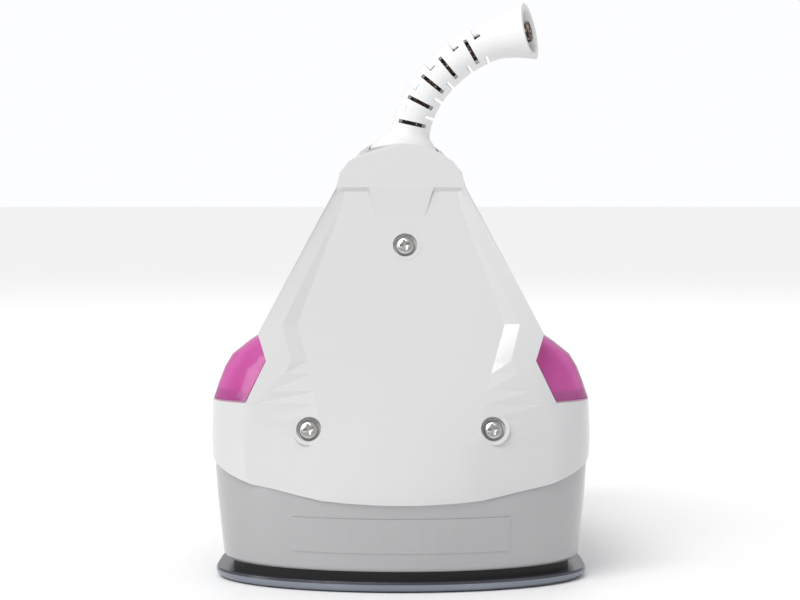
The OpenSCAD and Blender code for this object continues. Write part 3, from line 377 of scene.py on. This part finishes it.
white_gloss, tree, shader = surfaced(
    "white_gloss", (0.62, 0.62, 0.622), (0.595, 0.595, 0.6), 0.2, 0.1, 9, 0.5, 1400, 0.02, 0.0,
    (11, 0.12), (0.66, 0.66, 0.65, 1)
)
shader.inputs["Coat Weight"].default_value = 0.4
shader.inputs["Coat Roughness"].default_value = 0.06
shader.inputs["IOR"].default_value = 1.49
housing = shell_copy("lower_housing", "housing_moulding", 32, 0.0004)
finished(housing, white_gloss, "root", "lower_housing")
bonnet = shell_copy("upper_housing", "bonnet_moulding", 34, 0.00035)
finished(bonnet, white_gloss, "root", "upper_housing")
handle = shell_copy("handle_cover", "handle_moulding", 34, 0.00035)
finished(handle, white_gloss, "root", "handle_cover")
heel = shell_copy("heel_cover", "heel_moulding", 30, 0.0004, 0.3, True)

# The cap, the ramp and the two sloping strips keep crisp edges on the polished face
heel_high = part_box("heel_cover")[1]
beside = {}
for face in heel.data.polygons:
    for key in face.edge_keys:
        beside.setdefault(key, []).append(face.normal)
crease_marks = heel.data.attributes.get("sharp_edge")
if crease_marks is None:
    crease_marks = heel.data.attributes.new("sharp_edge", "BOOLEAN", "EDGE")
shoulder = heel_high.z - 0.0171
cap_foot = heel_high.z - 0.012
strip_foot = 0.05
tank_corner = 0.0823
strip_out_low = 0.0383
strip_out_high = 0.0188
faces_heel = -0.6
crease_angle = radians(5)
for edge in heel.data.edges:
    ends = [heel.data.vertices[v].co for v in edge.vertices]
    middle = (ends[0] + ends[1]) / 2
    up = (middle.z - tank_corner) / (shoulder - tank_corner)
    reach = strip_out_low + (strip_out_high - strip_out_low) * up if up > 0 else strip_out_low
    sides = beside.get(edge.key, [])
    if strip_foot < middle.z < cap_foot and abs(middle.x) < reach and len(sides) == 2:
        behind = sides[0].y < faces_heel and sides[1].y < faces_heel
        if behind and sides[0].angle(sides[1], 0) > crease_angle:
            crease_marks.data[edge.index].value = True
bpy.context.view_layer.objects.active = heel
bpy.ops.object.modifier_apply(modifier="even_shading")
finished(heel, white_gloss, "root", "heel_cover")


def lip_bead(node, name):
    """A rolled bead along the lower outer edge of a shell, where it laps over the skirt."""
    bead = shell_copy(node, name)
    lip_plane = Vector((0, -0.3256, 0.9455))
    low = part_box(node)[0]
    lip_height = lip_plane.dot(Vector((0, low.y, low.z)))
    lip_reach = 0.0009
    shell_middle = Vector((0, -0.06, 0))
    faces_out = 0.3
    faces_down = -0.9
    bead_r = 0.0006
    normals = {}
    for face in bead.data.polygons:
        for key in face.edge_keys:
            normals.setdefault(key, []).append(face.normal)
    bpy.context.view_layer.objects.active = bead
    bpy.ops.object.mode_set(mode="EDIT")
    bpy.ops.mesh.select_mode(type="VERT")
    bpy.ops.mesh.select_all(action="DESELECT")
    bpy.ops.object.mode_set(mode="OBJECT")
    for edge in bead.data.edges:
        ends = [bead.data.vertices[v].co for v in edge.vertices]
        out = (ends[0] + ends[1]) / 2 - shell_middle
        out.z = 0
        own = normals.get(edge.key, [])
        outer = any(n.dot(out.normalized()) > faces_out for n in own)
        under = any(n.dot(lip_plane) < faces_down for n in own)
        on_lip = all(abs(lip_plane.dot(e) - lip_height) < lip_reach for e in ends)
        edge.select = outer and under and on_lip
        if edge.select:
            for v in edge.vertices:
                bead.data.vertices[v].select = True
    bpy.ops.object.mode_set(mode="EDIT")
    bpy.ops.mesh.select_all(action="INVERT")
    bpy.ops.mesh.delete(type="VERT")
    bpy.ops.mesh.select_all(action="SELECT")
    bpy.ops.mesh.delete(type="ONLY_FACE")
    bpy.ops.mesh.select_all(action="SELECT")
    bpy.ops.transform.resize(value=(0.9892, 0.9868, 1), center_override=(0, shell_middle.y, 0.03))
    bpy.ops.transform.translate(value=(0, 0, bead_r / 2))
    bpy.ops.object.mode_set(mode="OBJECT")
    bpy.ops.object.select_all(action="DESELECT")
    bead.select_set(True)
    bpy.ops.object.convert(target="CURVE")
    bead.data.bevel_depth = bead_r
    bead.data.bevel_resolution = 3
    bead.data.use_fill_caps = True
    bpy.ops.object.convert(target="MESH")
    bead = bpy.context.object
    bpy.ops.object.shade_smooth()
    bead.data.materials.clear()
    bead.data.materials.append(white_gloss)
    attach(bead, "root")
    return bead


lip_bead("heel_cover", "heel_lip_bead")
door = shell_copy("filler_door", "filler_lid", 30, 0.0003)
finished(door, white_gloss, "door", "filler_door")

# ------------------------------------------------------------------ Water tank
# The tank wraps the nose and both flanks: clear magenta plastic, 2.4 mm thick, whose
# edges and inner ribs catch the light.

tank_magenta, tree, shader = named_material("tank_magenta")
where = tree.nodes.new("ShaderNodeTexCoord").outputs["Object"]
milk = noise_node(tree, where, 60, 3)
milk = math_node(tree, "MULTIPLY", milk, 0.8, True)
deep_magenta = (0.88, 0.07, 0.52, 1)
pale_magenta = (0.97, 0.3, 0.76, 1)
dye = blend_node(tree, milk, deep_magenta, pale_magenta)
tree.links.new(dye, shader.inputs["Base Color"])
ripple = noise_node(tree, where, 130, 3)
relief = tree.nodes.new("ShaderNodeBump")
relief.inputs["Strength"].default_value = 0.25
relief.inputs["Distance"].default_value = 0.001
tree.links.new(ripple, relief.inputs["Height"])
tree.links.new(relief.outputs["Normal"], shader.inputs["Normal"])
shader.inputs["Roughness"].default_value = 0.12
shader.inputs["IOR"].default_value = 1.49
shader.inputs["Transmission Weight"].default_value = 0.62
tank = shell_copy("water_tank", "tank_moulding", 34, 0.0004)
finished(tank, tank_magenta, "root", "water_tank")

# ------------------------------------------------------------------ Grip and controls
# A soft grey pad lies under the grip. The dial, regulator knob and steam button stand
# on the bonnet, and an amber lamp shows behind the grip.

soft_pad, tree, shader = surfaced(
    "soft_pad", (0.4, 0.4, 0.41), (0.34, 0.34, 0.35), 0.62, 0.1, 20, 0.6, 2600, 0.5
)
pad = shell_copy("grip_pad", "grip_pad_moulding", 34, 0.0002)
finished(pad, soft_pad, "root", "grip_pad")
dial_white, tree, shader = surfaced("dial_white", (0.74, 0.74, 0.745), (0.68, 0.68, 0.69), 0.3, 0.1)
coat("thermostat_dial", dial_white)
knob_grey, tree, shader = surfaced("knob_grey", (0.36, 0.36, 0.37), (0.3, 0.3, 0.31), 0.4, 0.1)
coat("regulator_knob", knob_grey)
button_magenta, tree, shader = surfaced("button_magenta", (0.66, 0.04, 0.34), (0.58, 0.03, 0.3), 0.22, 0.08)
shader.inputs["Coat Weight"].default_value = 0.4
coat("steam_button", button_magenta)
lens_amber, tree, shader = surfaced("lens_amber", (0.8, 0.2, 0.03), (0.7, 0.14, 0.02), 0.15, 0.05)
shader.inputs["Transmission Weight"].default_value = 0.5
coat("lamp_lens", lens_amber)
lamp_glow, tree, shader = surfaced("lamp_glow", (0.85, 0.5, 0.3), (0.8, 0.42, 0.22), 0.3, 0.05)
coat("lamp", lamp_glow)

# ------------------------------------------------------------------ Heel screws
# Three nickel-plated pan-head screws with a cross recess sit in wells in the cover.

nickel, tree, shader = surfaced(
    "nickel", (0.6, 0.59, 0.57), (0.42, 0.41, 0.4), 0.24, 0.2, 160, 0.9, 2200, 0.12, 1.0
)


def pan_head(name):
    """One domed pan head with its cross recess, face up at the origin."""
    head_r = 0.003
    rim_h = 0.0009
    bpy.ops.object.select_all(action="DESELECT")
    bpy.ops.mesh.primitive_cylinder_add(vertices=40, radius=head_r, depth=rim_h, location=(0, 0, rim_h / 2))
    head = bpy.context.object
    head.name = name
    bpy.ops.object.transform_apply(location=True)
    bpy.ops.object.mode_set(mode="EDIT")
    bpy.ops.mesh.select_all(action="DESELECT")
    bpy.ops.mesh.select_mode(type="FACE")
    bpy.ops.object.mode_set(mode="OBJECT")
    for face in head.data.polygons:
        face.select = face.normal.z > 0.9
    bpy.ops.object.mode_set(mode="EDIT")
    for rise, size in ((0.0004, 0.93), (0.00028, 0.84), (0.00016, 0.7)):
        bpy.ops.mesh.extrude_region_move(TRANSFORM_OT_translate={"value": (0, 0, rise)})
        bpy.ops.transform.resize(value=(size, size, 1))
    bpy.ops.object.mode_set(mode="OBJECT")
    blade_size = (0.0034, 0.00078, 0.0016)
    blade_z = 0.0015
    for turn in (12, 102):
        bpy.ops.mesh.primitive_cube_add(size=1, location=(0, 0, blade_z), rotation=(0, 0, radians(turn)))
        blade = bpy.context.object
        blade.scale = blade_size
        cut = head.modifiers.new("cross", "BOOLEAN")
        cut.operation = "DIFFERENCE"
        cut.solver = "EXACT"
        cut.object = blade
        bpy.context.view_layer.objects.active = head
        bpy.ops.object.modifier_apply(modifier="cross")
        bpy.data.objects.remove(blade)
    softened = head.modifiers.new("softened", "BEVEL")
    softened.width = 0.00012
    softened.segments = 2
    softened.angle_limit = radians(35)
    bpy.ops.object.modifier_apply(modifier="softened")
    bpy.ops.object.select_all(action="DESELECT")
    head.select_set(True)
    bpy.ops.object.shade_smooth_by_angle(angle=radians(34))
    return head


slope = Vector((0, -0.9397, 0.342))
head_depth = 0.0023
head_seat = 0.0019
heel_tilt = radians(70)
screw_corners = [v.co.copy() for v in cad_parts["heel_screws"].data.vertices]
heads = []
for near, far in ((-1, -0.01), (-0.01, 0.01), (0.01, 1)):
    own = [c for c in screw_corners if near < c.x < far]
    front = max(slope.dot(c) for c in own)
    rim = [c for c in own if slope.dot(c) > front - head_depth]
    low = Vector([min(c[k] for c in rim) for k in range(3)])
    high = Vector([max(c[k] for c in rim) for k in range(3)])
    seat = (low + high) / 2
    seat += slope * (front - head_seat - slope.dot(seat))
    head = pan_head("heel_screw_head")
    head.rotation_euler = (heel_tilt, 0, 0)
    head.location = seat
    bpy.ops.object.transform_apply(location=True, rotation=True)
    heads.append(head)
bpy.ops.object.select_all(action="DESELECT")
for head in heads:
    head.select_set(True)
bpy.context.view_layer.objects.active = heads[0]
bpy.ops.object.join()
screws = bpy.context.object
screws.name = "heel_screw_heads"
finished(screws, nickel, "root", "heel_screws")

# ------------------------------------------------------------------ Cord guard and lead
# A soft white guard, slotted so that it bends, grows out of a ball that rocks in the
# top of the heel. A braided brown and grey lead runs through it.

guard_white, tree, shader = surfaced(
    "guard_white", (0.83, 0.83, 0.83), (0.77, 0.77, 0.77), 0.42, 0.1, 30, 0.6, 1900, 0.12
)
guard = shell_copy("cord_guard", "guard_sleeve", 38, 0.00018)
finished(guard, guard_white, "guard", "cord_guard")
braid, tree, shader = named_material("braid")
where = tree.nodes.new("ShaderNodeTexCoord").outputs["Object"]
cells = tree.nodes.new("ShaderNodeTexVoronoi")
cells.inputs["Scale"].default_value = 900
tree.links.new(where, cells.inputs["Vector"])
pick = math_node(tree, "GREATER_THAN", cells.outputs["Distance"], 0.42)
fleck = noise_node(tree, where, 420, 2)
fleck = math_node(tree, "MULTIPLY", math_node(tree, "SUBTRACT", fleck, 0.45), 6, True)
yarn = blend_node(tree, fleck, (0.26, 0.14, 0.07, 1), (0.72, 0.68, 0.64, 1))
tree.links.new(blend_node(tree, pick, yarn, (0.05, 0.035, 0.03, 1)), shader.inputs["Base Color"])
weave = tree.nodes.new("ShaderNodeBump")
weave.inputs["Distance"].default_value = 0.0004
tree.links.new(cells.outputs["Distance"], weave.inputs["Height"])
tree.links.new(weave.outputs["Normal"], shader.inputs["Normal"])
shader.inputs["Roughness"].default_value = 0.75
for node in ("supply_lead", "inner_leads"):
    coat(node, braid)
